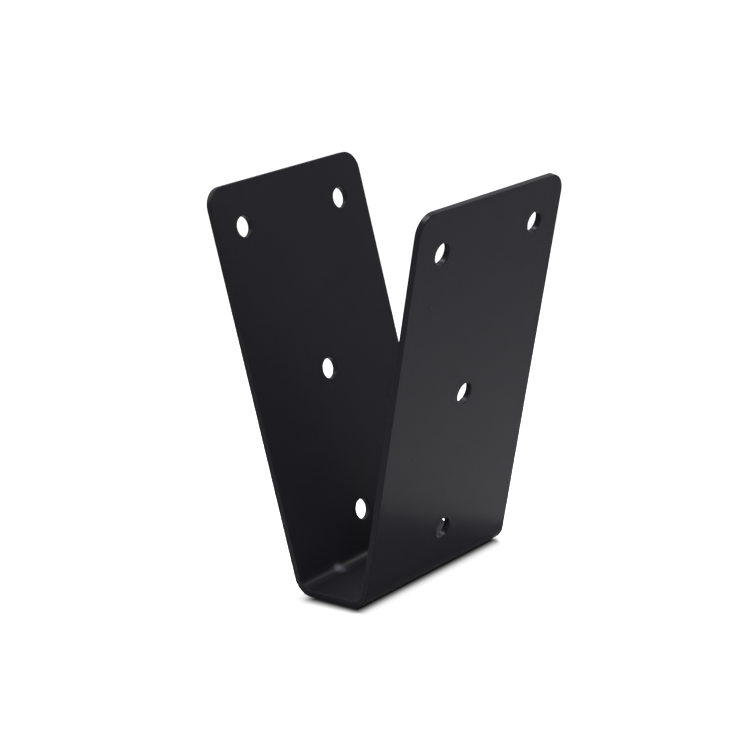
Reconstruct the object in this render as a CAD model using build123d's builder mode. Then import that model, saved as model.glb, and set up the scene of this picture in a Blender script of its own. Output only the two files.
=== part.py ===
"""U bracket, folded from one strip of steel sheet.

A narrow web joins two equal flanges that lean outwards, so the bracket is open like a V.
Each flange has rounded top corners and four round screw holes, punched square to its face.

Frame: X across the folds, Y along them, Z up. The origin is on the web's underside, in the
middle of the bracket. All sizes are in millimetres.
"""

from build123d import *
from math import cos, radians, sin
import os

# The strip and its two folds
SHEET = 3.0  # thickness, coating included
STRIP_WIDTH = 100.0  # along the folds
WEB_WIDTH = 37.0  # under the web, between the sharp corners that the folds round off
FLANGE_LENGTH = 180.0  # up the outer face, from that sharp corner to the top edge
FLANGE_LEAN = 13.0  # degrees outwards from upright
BEND_RADIUS = 6.0  # inside each fold
CORNER_RADIUS = 9.0  # top corners of each flange
EDGE_ROUND = 0.4  # on the strip's cut edges, where the coating wraps over them

# The screw holes of each flange, placed along its outer face
HOLE_DIAMETER = 9.3
HOLE_BREAK = 0.3  # chamfer round both ends of a hole
TOP_PAIR_SPACING = 65.0  # between the two upper holes
TOP_PAIR_DROP = 19.5  # from the top edge down to the upper holes
MIDDLE_HOLE_RISE = 89.0  # from the sharp corner up to the middle hole
LOWER_HOLE_RISE = 23.5  # from the sharp corner up to the lower hole

# The section's outer line turns at these points, given as (X, Z)
lean = radians(FLANGE_LEAN)
top_x = WEB_WIDTH / 2 + FLANGE_LENGTH * sin(lean)
top_z = FLANGE_LENGTH * cos(lean)
section_corners = [(-top_x, top_z), (-WEB_WIDTH / 2, 0), (WEB_WIDTH / 2, 0), (top_x, top_z)]

# Each flange's outer face, with its own y running up the flange from the sharp corner
flange_faces = [
    Plane(origin=(side * WEB_WIDTH / 2, 0, 0), x_dir=(0, side, 0), z_dir=(side * cos(lean), 0, -sin(lean)))
    for side in (1, -1)
]

with BuildPart() as u_bracket:
    # The folded strip: its outer line, thickened inwards, as wide as the strip
    with BuildSketch(Plane.XZ):
        with BuildLine():
            FilletPolyline(*section_corners, radius=BEND_RADIUS + SHEET)
            offset(amount=SHEET, side=Side.LEFT)
        make_face()
    extrude(amount=STRIP_WIDTH / 2, both=True)

    # Rounded top corners: their edges run square through the flanges
    for face in flange_faces:
        fillet(u_bracket.edges().filter_by(Axis((0, 0, 0), face.z_dir)), radius=CORNER_RADIUS)

    # The strip's outline on both of its skins. The fold lines, and the seams between a rounded
    # corner and the straight edges beside it, are smooth already.
    outline = u_bracket.edges() - u_bracket.edges().filter_by(Axis.Y).sort_by(Axis.Z)[:-4]
    for face in flange_faces:
        outline -= outline.filter_by(Axis((0, 0, 0), face.z_dir))
    fillet(outline, radius=EDGE_ROUND)

    # Two upper holes side by side, and two more on the flange's centre line
    with BuildSketch(*flange_faces):
        with Locations(
            (-TOP_PAIR_SPACING / 2, FLANGE_LENGTH - TOP_PAIR_DROP),
            (TOP_PAIR_SPACING / 2, FLANGE_LENGTH - TOP_PAIR_DROP),
            (0, MIDDLE_HOLE_RISE),
            (0, LOWER_HOLE_RISE),
        ):
            Circle(HOLE_DIAMETER / 2)
    extrude(amount=-SHEET, mode=Mode.SUBTRACT)
    chamfer(u_bracket.edges(Select.LAST).filter_by(GeomType.CIRCLE), length=HOLE_BREAK)

u_bracket.part.label = "u_bracket"

os.makedirs("parts", exist_ok=True)
export_step(u_bracket.part, "parts/u_bracket.step")
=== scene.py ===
"""The finish of a folded steel U bracket, and the small studio it stands in.

The bracket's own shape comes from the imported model. This file gives it its satin black powder
coat, then adds the floor, the light and the camera. It is laid out as an add-on and run as a
script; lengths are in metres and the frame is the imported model's: X across the folds, Y along
them, Z up, with the origin on the underside of the web.
"""

from math import cos, radians, sin

import bmesh
import bpy
from bpy.props import FloatProperty, FloatVectorProperty, PointerProperty
from bpy.types import Operator, Panel, PropertyGroup
from mathutils import Matrix, Vector

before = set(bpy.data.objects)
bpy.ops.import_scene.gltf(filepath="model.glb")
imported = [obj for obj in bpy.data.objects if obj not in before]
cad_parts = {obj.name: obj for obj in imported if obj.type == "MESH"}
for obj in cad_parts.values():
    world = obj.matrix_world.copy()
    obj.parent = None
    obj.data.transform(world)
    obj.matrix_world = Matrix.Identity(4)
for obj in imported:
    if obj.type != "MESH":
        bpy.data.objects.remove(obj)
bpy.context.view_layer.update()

bl_info = {
    "name": "Folded U bracket",
    "version": (1, 0, 0),
    "blender": (4, 5, 0),
    "location": "3D View > Sidebar > Bracket",
    "description": "Powder coat and studio for a folded steel U bracket",
    "category": "3D View",
}

BRACKET = "u_bracket"
MILLIMETRE = 0.001
BLACK = (0.0, 0.0, 0.0, 1.0)
WHITE = (1.0, 1.0, 1.0, 1.0)

# The coat varies slowly across the bracket
FLOW_RATIO = 14  # how many ripples of the orange peel the slow change is across
FLOW_TINT = 1.12  # how much lighter it makes the colour at most
FLOW_ROUGHNESS = 0.08
GRAIN_ROUGHNESS = 0.06

# Specks that settled in the wet coat: where each lies on the bracket, and its radius, in mm
COAT_NIBS = [
    ((-45.6, 31.2, 130.8), 0.55),
    ((49.4, -35.0, 134.0), 0.5),
    ((33.7, -34.8, 65.7), 0.45),
]
NIB_HEIGHT = 0.12 * MILLIMETRE

# The contact shadow painted on the floor, round the place where the web stands: painted shadow, drawn from the
# distance to the web's footprint
FOOTPRINT = (0.0114, 0.0486, 0.0)  # half the size of its darkest part
FOOTPRINT_CENTRE = (0.0029, -0.0016, 0.0)  # a little to the side away from the softbox
CONTACT_NEAR = 0.007  # how far its close edge fades
CONTACT_FAR = 0.018  # and its wide, faint one
CONTACT_SHADOW_PAINT = (0.028, 0.025, 0.025, 1.0)

# Painted shade on the floor that only the coat's reflections see: dark beside the bracket, and on its right up
# to a straight edge
BESIDE_REACH = 0.06  # how near the bracket the floor has to be to darken
BESIDE_RAMP = (0.66, 0.86)  # from dark to open, as the bracket hides less of the room
RIGHT_RAMP = (0.010, 0.014)  # along X, where the right side begins
EDGE_NORMAL = (0.85, 0.527, 0.0)
EDGE_RAMP = (0.0542, 0.0572)  # distance of the edge from the origin
FADE_RAMP = (0.08, 0.24)  # where the floor past the edge grows fainter again
PAINTED_SHADE_PAPER = (0.3, 0.3, 0.3, 1.0)

# How far the floor is lifted towards white where it is seen
DIRECT_LIFT = 0.9
MIRRORED_LIFT = 0.5
# Painted light that only the coat's reflections see: brighter just past the edge, fainter again further off
EDGE_PAINTED_LIGHT = 0.17  # more of it just past the edge
FADE_OF_PAINTED_LIGHT = 0.27  # and how much is lost again further off


# ---------------------------------------------------------------- shader expressions


class Term:
    """A shader socket that can stand in an expression; each operator adds one Math node."""

    def __init__(self, graph, socket):
        self.graph = graph
        self.socket = socket

    def _maths(self, operation, first, second):
        return self.graph.node("ShaderNodeMath", {"operation": operation}, {0: first, 1: second})["Value"]

    def __add__(self, other):
        return self._maths("ADD", self, other)

    def __radd__(self, other):
        return self._maths("ADD", other, self)

    def __sub__(self, other):
        return self._maths("SUBTRACT", self, other)

    def __rsub__(self, other):
        return self._maths("SUBTRACT", other, self)

    def __mul__(self, other):
        return self._maths("MULTIPLY", self, other)

    def __rmul__(self, other):
        return self._maths("MULTIPLY", other, self)


class Outputs:
    """A node's outputs, each taken by its name as a Term."""

    def __init__(self, graph, node):
        self.graph = graph
        self.node = node

    def __getitem__(self, name):
        return Term(self.graph, self.node.outputs[name])


class Graph:
    """The node tree of one material or world, filled by expressions."""

    def __init__(self, owner):
        owner.use_nodes = True
        self.tree = owner.node_tree
        self.tree.nodes.clear()

    def node(self, kind, settings=None, inputs=None):
        """Adds a node, sets it up, then gives its sockets their values or links."""
        node = self.tree.nodes.new(kind)
        for name, value in (settings or {}).items():
            setattr(node, name, value)
        for name, value in (inputs or {}).items():
            if isinstance(value, Term):
                self.tree.links.new(value.socket, node.inputs[name])
            else:
                node.inputs[name].default_value = value
        return Outputs(self, node)

    def smooth_step(self, value, low, high):
        """0 where the value is low, 1 where it is high, and a smooth ramp between."""
        return self.node(
            "ShaderNodeMapRange",
            {"interpolation_type": "SMOOTHSTEP"},
            {"Value": value, "From Min": low, "From Max": high, "To Min": 0.0, "To Max": 1.0},
        )["Result"]

    def noise(self, where, size, detail=0.0, roughness=0.5):
        """Noise whose lumps are about size metres across, from 0 to 1."""
        return self.node(
            "ShaderNodeTexNoise",
            {"noise_dimensions": "3D", "normalize": True},
            {"Vector": where, "Scale": 1.0 / size, "Detail": detail, "Roughness": roughness},
        )["Fac"]

    def mix_colour(self, factor, first, second):
        """The first colour where the factor is 0, the second where it is 1."""
        mix = self.node("ShaderNodeMix", {"data_type": "RGBA", "blend_type": "MIX"})
        for index, value in ((0, factor), (6, first), (7, second)):
            if isinstance(value, Term):
                self.tree.links.new(value.socket, mix.node.inputs[index])
            else:
                mix.node.inputs[index].default_value = value
        return Term(self, mix.node.outputs[2])


def rgba(colour):
    """A colour with full alpha, as colour sockets take it."""
    return (*colour, 1.0)


# ---------------------------------------------------------------- what a user would change


class CoatSettings(PropertyGroup):
    """The powder coat."""

    colour: FloatVectorProperty(
        name="Colour", description="Colour of the coat in full light", subtype="COLOR",
        size=3, min=0.0, max=1.0, default=(0.0157, 0.0152, 0.0190),
    )
    roughness: FloatProperty(
        name="Roughness", description="How satin the coat is, from gloss to matt",
        subtype="FACTOR", min=0.0, max=1.0, default=0.3,
    )
    reflection: FloatProperty(
        name="Reflection", description="How strongly the coat reflects, seen straight on",
        subtype="FACTOR", min=0.0, max=1.0, default=0.028,
    )
    peel_size: FloatProperty(
        name="Orange peel", description="Distance between the soft ripples of the cured coat",
        subtype="DISTANCE", unit="LENGTH", min=0.0002, max=0.02, default=0.0022,
    )
    peel_depth: FloatProperty(
        name="Orange peel depth", description="Height of those ripples",
        subtype="DISTANCE", unit="LENGTH", min=0.0, max=0.001, default=0.000010,
    )
    grain_size: FloatProperty(
        name="Grain", description="Size of the fine grain left by the powder",
        subtype="DISTANCE", unit="LENGTH", min=0.0001, max=0.005, default=0.0005,
    )
    grain_depth: FloatProperty(
        name="Grain depth", description="Height of the fine grain",
        subtype="DISTANCE", unit="LENGTH", min=0.0, max=0.001, default=0.0000025,
    )


class StudioSettings(PropertyGroup):
    """The floor and the light."""

    floor_radius: FloatProperty(
        name="Floor radius", description="Radius of the round floor",
        subtype="DISTANCE", unit="LENGTH", min=0.5, max=20.0, default=6.0,
    )
    floor_colour: FloatVectorProperty(
        name="Floor colour", description="Colour of the floor", subtype="COLOR",
        size=3, min=0.0, max=1.0, default=(0.86, 0.86, 0.86),
    )
    sky: FloatProperty(
        name="Room light", description="Strength of the even light from all round",
        min=0.0, max=2.0, default=0.1,
    )
    softbox: FloatProperty(
        name="Softbox", description="Power of the softbox above, behind on the left, in watts",
        min=0.0, max=200.0, default=1.62,
    )
    fill: FloatProperty(
        name="Fill light", description="Power of the soft light in front on the right, in watts",
        min=0.0, max=200.0, default=8.0,
    )
    side: FloatProperty(
        name="Side light", description="Power of the soft light behind on the right, in watts",
        min=0.0, max=200.0, default=6.2,
    )
    glint: FloatProperty(
        name="Corner glint", description="Power of the lamp mirrored in the right flange's corner, in watts",
        min=0.0, max=50.0, default=3.0,
    )
    edge_glint: FloatProperty(
        name="Edge glint", description="Power of the lamp mirrored in the left flange's corner, in watts",
        min=0.0, max=50.0, default=1.5,
    )
    bend_glint: FloatProperty(
        name="Bend glint", description="Power of the lamp mirrored along the folds, in watts",
        min=0.0, max=50.0, default=1.7,
    )
    beam: FloatProperty(
        name="Beam", description="Power of the light that comes through the right lower hole, in watts",
        min=0.0, max=1.0, default=0.00015,
    )
    softbox_size: FloatProperty(
        name="Softbox size", description="Side of the square softbox",
        subtype="DISTANCE", unit="LENGTH", min=0.1, max=5.0, default=0.3,
    )


class CameraSettings(PropertyGroup):
    """Where the camera stands and what it looks at."""

    azimuth: FloatProperty(
        name="Azimuth", description="Turn of the camera round the bracket from its open front",
        subtype="ANGLE", unit="ROTATION", default=radians(39.207),
    )
    elevation: FloatProperty(
        name="Elevation", description="Height of the camera above the level",
        subtype="ANGLE", unit="ROTATION", default=radians(16.381),
    )
    roll: FloatProperty(
        name="Roll", description="Tilt of the camera about its own line of sight",
        subtype="ANGLE", unit="ROTATION", default=radians(-2.867),
    )
    distance: FloatProperty(
        name="Distance", description="Distance from the aim point to the camera",
        subtype="DISTANCE", unit="LENGTH", min=0.1, max=10.0, default=0.9956,
    )
    lens: FloatProperty(
        name="Focal length", description="Focal length in millimetres on a 36 mm sensor",
        min=10.0, max=400.0, default=109.63,
    )
    aim: FloatVectorProperty(
        name="Aim", description="Point that the camera looks at", subtype="TRANSLATION",
        unit="LENGTH", size=3, default=(-0.00606, -0.00505, 0.08972),
    )


# ---------------------------------------------------------------- the bracket's finish


def powder_coat(settings):
    """Satin black powder coat: soft orange peel, a fine grain and a few nibs."""
    material = bpy.data.materials.new("satin_black_powder_coat")
    graph = Graph(material)
    where = graph.node("ShaderNodeTexCoord")["Object"]

    peel = graph.noise(where, settings.peel_size, detail=1.0)
    grain = graph.noise(where, settings.grain_size, detail=2.0)
    flow = graph.noise(where, FLOW_RATIO * settings.peel_size, detail=2.0)

    height = peel * settings.peel_depth + grain * settings.grain_depth
    specks = 0.0
    for place, radius in COAT_NIBS:
        centre = [MILLIMETRE * value for value in place]
        away = graph.node("ShaderNodeVectorMath", {"operation": "DISTANCE"}, {0: where, 1: centre})["Value"]
        specks = specks + graph.smooth_step(away, radius * MILLIMETRE, 0.0)
    height = height + specks * NIB_HEIGHT

    lighter = [FLOW_TINT * value for value in settings.colour]
    colour = graph.mix_colour(flow, rgba(settings.colour), rgba(lighter))
    roughness = settings.roughness + (flow - 0.5) * FLOW_ROUGHNESS + (grain - 0.5) * GRAIN_ROUGHNESS

    bump = graph.node("ShaderNodeBump", {}, {"Strength": 1.0, "Distance": 1.0, "Height": height})
    surface = graph.node(
        "ShaderNodeBsdfPrincipled",
        {},
        {
            "Base Color": colour,
            "Roughness": roughness,
            "Specular IOR Level": settings.reflection,
            "Normal": bump["Normal"],
        },
    )
    graph.node("ShaderNodeOutputMaterial", {}, {"Surface": surface["BSDF"]})
    return material


class BRACKET_OT_powder_coat(Operator):
    """Give the bracket its satin black powder coat"""

    bl_idname = "bracket.powder_coat"
    bl_label = "Powder coat"

    def execute(self, context):
        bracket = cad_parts.get(BRACKET)
        if bracket is None:
            raise RuntimeError(f"the packed model has no node {BRACKET}")
        coat = powder_coat(context.scene.bracket_coat)
        for slot in bracket.material_slots:
            slot.material = coat
        return {"FINISHED"}


# ---------------------------------------------------------------- the studio


def add_mesh(name, mesh_in_progress, material):
    """A new object at the origin from a finished bmesh."""
    mesh = bpy.data.meshes.new(name)
    mesh_in_progress.to_mesh(mesh)
    mesh_in_progress.free()
    mesh.materials.append(material)
    thing = bpy.data.objects.new(name, mesh)
    bpy.context.scene.collection.objects.link(thing)
    return thing


def seen_directly(graph):
    """1 for rays from the camera, a reflection or glass, and 0 for light that bounces about."""
    path = graph.node("ShaderNodeLightPath")
    seen = path["Is Camera Ray"]
    for kind in ("Is Glossy Ray", "Is Transmission Ray"):
        seen = graph.node("ShaderNodeMath", {"operation": "MAXIMUM"}, {0: seen, 1: path[kind]})["Value"]
    return seen


def contact(graph, where):
    """Mask of the painted contact shadow: 0 on the floor where the web meets it, rising to 1 a little way off.
    """
    middle = graph.node("ShaderNodeVectorMath", {"operation": "SUBTRACT"}, {0: where, 1: FOOTPRINT_CENTRE})
    sides = graph.node("ShaderNodeVectorMath", {"operation": "ABSOLUTE"}, {0: middle["Vector"]})
    beyond = graph.node("ShaderNodeVectorMath", {"operation": "SUBTRACT"}, {0: sides["Vector"], 1: FOOTPRINT})
    nowhere = (0.0, 0.0, 0.0)
    gap = graph.node("ShaderNodeVectorMath", {"operation": "MAXIMUM"}, {0: beyond["Vector"], 1: nowhere})
    reach = graph.node("ShaderNodeVectorMath", {"operation": "LENGTH"}, {0: gap["Vector"]})["Value"]
    return (graph.smooth_step(reach, 0.0, CONTACT_NEAR) + graph.smooth_step(reach, 0.0, CONTACT_FAR)) * 0.5


def mirrored_painted_shade_and_light(graph, where):
    """Painted shade and light on the floor, as only the coat's reflections see it: how open it is, from 0 to 1,
    and how far it is lifted.
    """
    openness = graph.node("ShaderNodeAmbientOcclusion", {"samples": 8}, {"Distance": BESIDE_REACH})["AO"]
    across = graph.node("ShaderNodeSeparateXYZ", {}, {"Vector": where})["X"]
    right = graph.smooth_step(across, *RIGHT_RAMP)
    slant = graph.node(
        "ShaderNodeVectorMath", {"operation": "DOT_PRODUCT"}, {0: where, 1: EDGE_NORMAL}
    )["Value"]
    away = graph.smooth_step(openness, *BESIDE_RAMP)
    past_edge = graph.smooth_step(slant, *EDGE_RAMP)
    # Painted shade for reflections: dark beside the bracket, and on its right up to the straight edge
    open_floor = away * (1.0 - right) + past_edge * right
    # Painted light for reflections: brighter just past the edge, fainter again further off
    fade = graph.smooth_step(slant, *FADE_RAMP)
    return open_floor, open_floor * (MIRRORED_LIFT + right * (EDGE_PAINTED_LIGHT - fade * FADE_OF_PAINTED_LIGHT))


def floor_paper(settings):
    """White paper that keeps the bracket's shadow and is lifted to white where it is seen, with a painted
    contact shadow round the web and painted shade and light that only reflections see.
    """
    material = bpy.data.materials.new("white_floor")
    graph = Graph(material)
    path = graph.node("ShaderNodeLightPath")
    where = graph.node("ShaderNodeTexCoord")["Object"]
    open_floor, mirrored_lift_and_painted_light = mirrored_painted_shade_and_light(graph, where)
    clear = contact(graph, where)
    direct = path["Is Camera Ray"] + path["Is Transmission Ray"]
    mirrored = path["Is Glossy Ray"]
    # The lift leaves out the painted contact shadow, and carries the painted light that reflections see
    lift = direct * clear * DIRECT_LIFT + mirrored * mirrored_lift_and_painted_light
    # Painted shade, seen only in reflections: the floor's colour darkened beside the bracket
    paper = graph.mix_colour(mirrored * (1.0 - open_floor), rgba(settings.floor_colour), PAINTED_SHADE_PAPER)
    surface = graph.node(
        "ShaderNodeBsdfPrincipled",
        {},
        {
            # Painted contact shadow for camera rays: the floor's colour darkened round the web
            "Base Color": graph.mix_colour(direct * (1.0 - clear), paper, CONTACT_SHADOW_PAINT),
            "Roughness": 1.0,
            "Specular IOR Level": 0.0,
            "Emission Color": graph.mix_colour(lift, BLACK, WHITE),
            "Emission Strength": 1.0,
        },
    )
    graph.node("ShaderNodeOutputMaterial", {}, {"Surface": surface["BSDF"]})
    return material


def room(settings):
    """An even pale room, plain white where it is seen."""
    world = bpy.data.worlds.new("pale_room")
    graph = Graph(world)
    strength = settings.sky + seen_directly(graph) * (1.0 - settings.sky)
    light = graph.node("ShaderNodeBackground", {}, {"Color": WHITE, "Strength": strength})
    graph.node("ShaderNodeOutputWorld", {}, {"Surface": light["Background"]})
    return world


def soft_light(name, power, size, spread, place, aim=(0.0, 0.0, 0.1), lights=True, mirrored=True):
    """A square lamp aimed at the bracket, which it can light, show in as a reflection, or both."""
    lamp = bpy.data.lights.new(name, "AREA")
    lamp.shape = "SQUARE"
    lamp.size = size
    lamp.energy = power
    lamp.spread = radians(spread)
    thing = bpy.data.objects.new(name, lamp)
    thing.location = place
    thing.visible_camera = False
    thing.visible_diffuse = lights
    thing.visible_glossy = mirrored
    thing.rotation_euler = (Vector(aim) - thing.location).to_track_quat("-Z", "Y").to_euler()
    bpy.context.scene.collection.objects.link(thing)


class BRACKET_OT_studio(Operator):
    """Add the pale floor, the even room light, the soft lamps and those that only show as glints"""

    bl_idname = "bracket.studio"
    bl_label = "Studio"

    def execute(self, context):
        settings = context.scene.bracket_studio
        disc = bmesh.new()
        bmesh.ops.create_circle(disc, segments=96, radius=settings.floor_radius, cap_ends=True)
        floor = add_mesh("floor", disc, floor_paper(settings))

        context.scene.world = room(settings)

        # These light the bracket, and its coat doesn't mirror them
        soft_light("softbox", settings.softbox, settings.softbox_size, 50, (-0.36, 0.58, 0.87), mirrored=False)
        soft_light("fill", settings.fill, 0.6, 180, (0.5, -0.6, 0.9), mirrored=False)
        soft_light("side", settings.side, 0.8, 180, (0.8, 0.85, 0.35), mirrored=False)

        # These only show in the coat
        soft_light("glint", settings.glint, 0.55, 50, (-0.33, -0.08, 1.05), lights=False)
        soft_light("edge_glint", settings.edge_glint, 1.0, 50, (-0.92, -0.29, 0.71), lights=False)
        soft_light("bend_glint", settings.bend_glint, 0.7, 50, (0.785, 1.385, 1.174), lights=False)

        # The spot of light that falls through the right lower hole onto the left fold
        soft_light("beam", settings.beam, 0.003, 5, (0.0200, -0.0015, 0.0225), aim=(-0.0152, -0.0255, 0.0044))

        context.scene.view_settings.view_transform = "Standard"
        return {"FINISHED"}


class BRACKET_OT_camera(Operator):
    """Stand the camera a little above the bracket, off its open front"""

    bl_idname = "bracket.camera"
    bl_label = "Camera"

    def execute(self, context):
        settings = context.scene.bracket_camera
        back = Vector((
            sin(settings.azimuth) * cos(settings.elevation),
            -cos(settings.azimuth) * cos(settings.elevation),
            sin(settings.elevation),
        ))
        level = Vector((cos(settings.azimuth), sin(settings.azimuth), 0.0))
        turn = Matrix((level, back.cross(level), back)).transposed()
        turn = turn @ Matrix.Rotation(settings.roll, 3, "Z")

        data = bpy.data.cameras.new("camera")
        data.sensor_width = 36.0
        data.lens = settings.lens
        camera = bpy.data.objects.new("camera", data)
        camera.matrix_world = Matrix.Translation(Vector(settings.aim) + back * settings.distance) @ turn.to_4x4()
        context.scene.collection.objects.link(camera)
        context.scene.camera = camera
        return {"FINISHED"}


class BRACKET_PT_panel(Panel):
    """Lists the steps and their settings"""

    bl_idname = "BRACKET_PT_panel"
    bl_label = "Folded U bracket"
    bl_space_type = "VIEW_3D"
    bl_region_type = "UI"
    bl_category = "Bracket"

    def draw(self, context):
        for group, step in STEPS:
            box = self.layout.box()
            settings = getattr(context.scene, group)
            for name in settings.bl_rna.properties.keys():
                if name not in ("rna_type", "name"):
                    box.prop(settings, name)
            box.operator(step)


SETTINGS = {
    "bracket_coat": CoatSettings,
    "bracket_studio": StudioSettings,
    "bracket_camera": CameraSettings,
}
STEPS = [
    ("bracket_camera", "bracket.camera"),
    ("bracket_coat", "bracket.powder_coat"),
    ("bracket_studio", "bracket.studio"),
]
CLASSES = [*SETTINGS.values(), BRACKET_OT_powder_coat, BRACKET_OT_studio, BRACKET_OT_camera, BRACKET_PT_panel]


def register():
    for cls in CLASSES:
        bpy.utils.register_class(cls)
    for name, group in SETTINGS.items():
        setattr(bpy.types.Scene, name, PointerProperty(type=group))


def unregister():
    for name in SETTINGS:
        delattr(bpy.types.Scene, name)
    for cls in reversed(CLASSES):
        bpy.utils.unregister_class(cls)


def main():
    register()
    bpy.ops.bracket.camera()
    bpy.ops.bracket.powder_coat()
    bpy.ops.bracket.studio()


if __name__ == "__main__":
    main()
